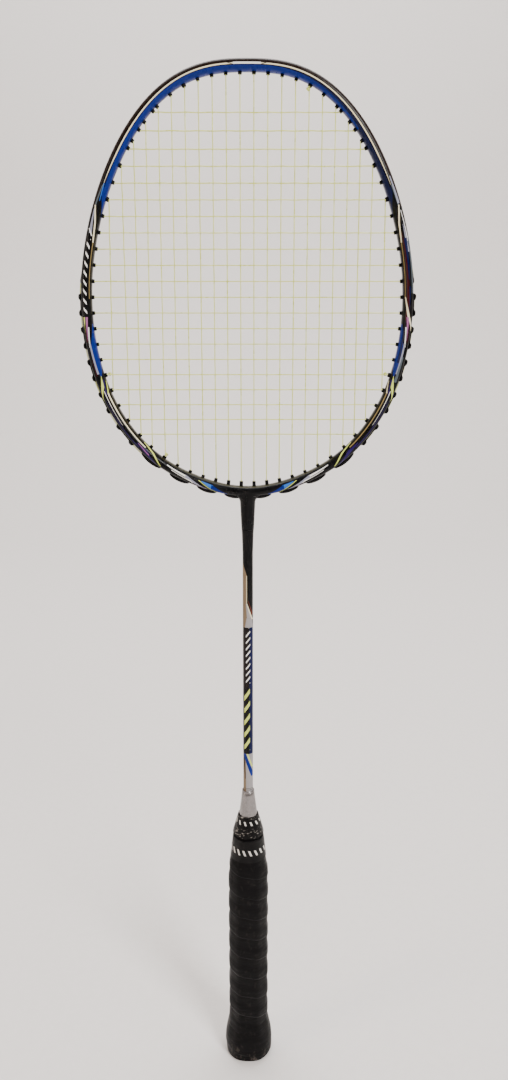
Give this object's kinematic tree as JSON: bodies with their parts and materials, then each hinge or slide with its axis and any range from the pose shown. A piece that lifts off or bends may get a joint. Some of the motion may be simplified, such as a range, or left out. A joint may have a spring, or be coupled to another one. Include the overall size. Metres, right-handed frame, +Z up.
{
  "type": "badminton racket",
  "caption": "Strung badminton racket with a hollow squared-oval head, a slim tubular shaft, a collar cone and a wrapped octagonal wooden handle.",
  "frame": {"origin": "middle of the butt's flat end", "axes": "+Z up the shaft to the top of the head, X across the head, Y square to the string bed"},
  "size_m": [0.2021, 0.0314, 0.675],
  "materials": {
    "frame_lacquer": "gloss lacquer over carbon laminate: deep blue, black, silver and lime bands",
    "insert_resin": "moulded resin, unpainted",
    "shaft_lacquer": "gloss lacquer over a carbon tube: black, silver, lime and blue bands",
    "cone_paint": "satin silver paint on moulded plastic",
    "handle_wood": "bare machined wood",
    "staple_steel": "plain wire",
    "base_grip_foam": "matt foamed polyurethane strip",
    "overgrip_film": "tacky thin polyurethane wrap, worn and creased",
    "tape_vinyl": "smooth vinyl tape",
    "cap_plastic": "moulded plastic",
    "disc_plastic": "plain silver disc with no mark",
    "grommet_nylon": "black moulded nylon",
    "string_nylon": "pale lime multifilament nylon"
  },
  "bodies": {
    "root": {"head_frame": "frame_lacquer", "t_joint": "insert_resin", "shaft": "shaft_lacquer", "cone": "cone_paint", "handle_core": "handle_wood", "butt_cap": "cap_plastic", "cap_disc": "disc_plastic", "base_grip": "base_grip_foam", "overgrip": "overgrip_film", "grip_staple": "staple_steel", "finish_tape_lower": "tape_vinyl", "finish_tape_upper": "tape_vinyl", "main_string": "string_nylon", "cross_string": "string_nylon", "grommet_strip_top": "grommet_nylon", "grommet_strip_left": "grommet_nylon", "grommet_strip_right": "grommet_nylon", "double_grommet_left_1": "grommet_nylon", "double_grommet_left_2": "grommet_nylon", "double_grommet_left_3": "grommet_nylon", "double_grommet_left_4": "grommet_nylon", "double_grommet_left_5": "grommet_nylon", "double_grommet_left_6": "grommet_nylon", "double_grommet_left_7": "grommet_nylon", "double_grommet_left_8": "grommet_nylon", "double_grommet_left_9": "grommet_nylon", "double_grommet_right_1": "grommet_nylon", "double_grommet_right_2": "grommet_nylon", "double_grommet_right_3": "grommet_nylon", "double_grommet_right_4": "grommet_nylon", "double_grommet_right_5": "grommet_nylon", "double_grommet_right_6": "grommet_nylon", "double_grommet_right_7": "grommet_nylon", "double_grommet_right_8": "grommet_nylon", "double_grommet_right_9": "grommet_nylon"}
  },
  "joints": []
}
